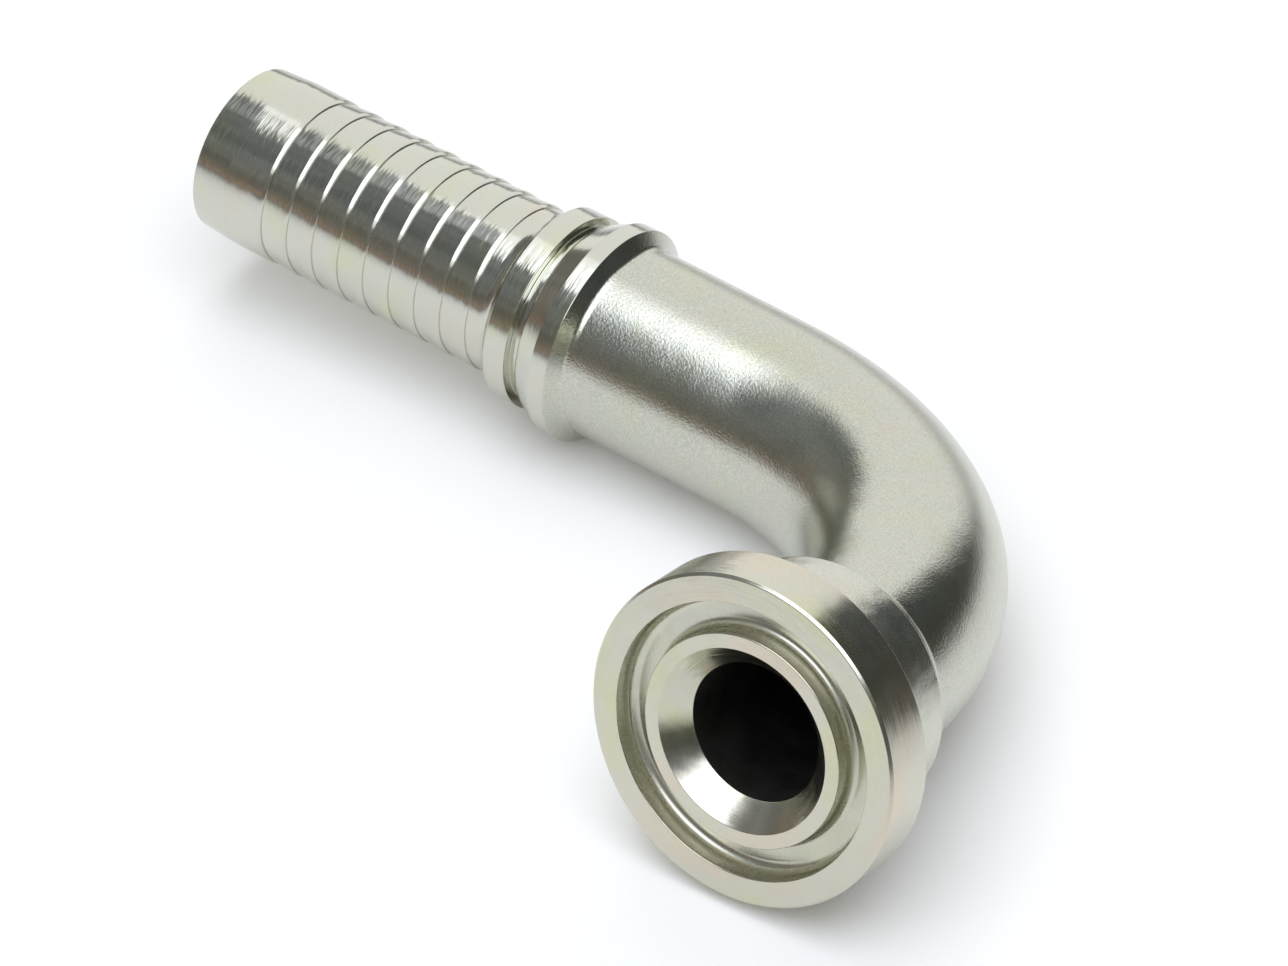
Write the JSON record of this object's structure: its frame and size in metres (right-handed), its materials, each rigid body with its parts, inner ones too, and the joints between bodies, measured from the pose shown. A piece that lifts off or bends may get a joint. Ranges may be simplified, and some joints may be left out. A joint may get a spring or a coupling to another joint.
{
  "type": "crimp hose fitting",
  "caption": "One-piece elbow hose fitting: a flange head with a seal groove, a bent tube, a collar with a locking groove and a serrated tail for a crimped hose.",
  "frame": {"origin": "centre of the sealing face of the flange head", "axes": "-Y out of the sealing face, -X along the hose tail away from the bend, +Z square to the plane of the bend"},
  "size_m": [0.1293, 0.0697, 0.038],
  "materials": {
    "zinc_plated_steel": "bright zinc plate, turned and satin"
  },
  "bodies": {
    "root": {"hose_fitting": "zinc_plated_steel"}
  },
  "joints": []
}
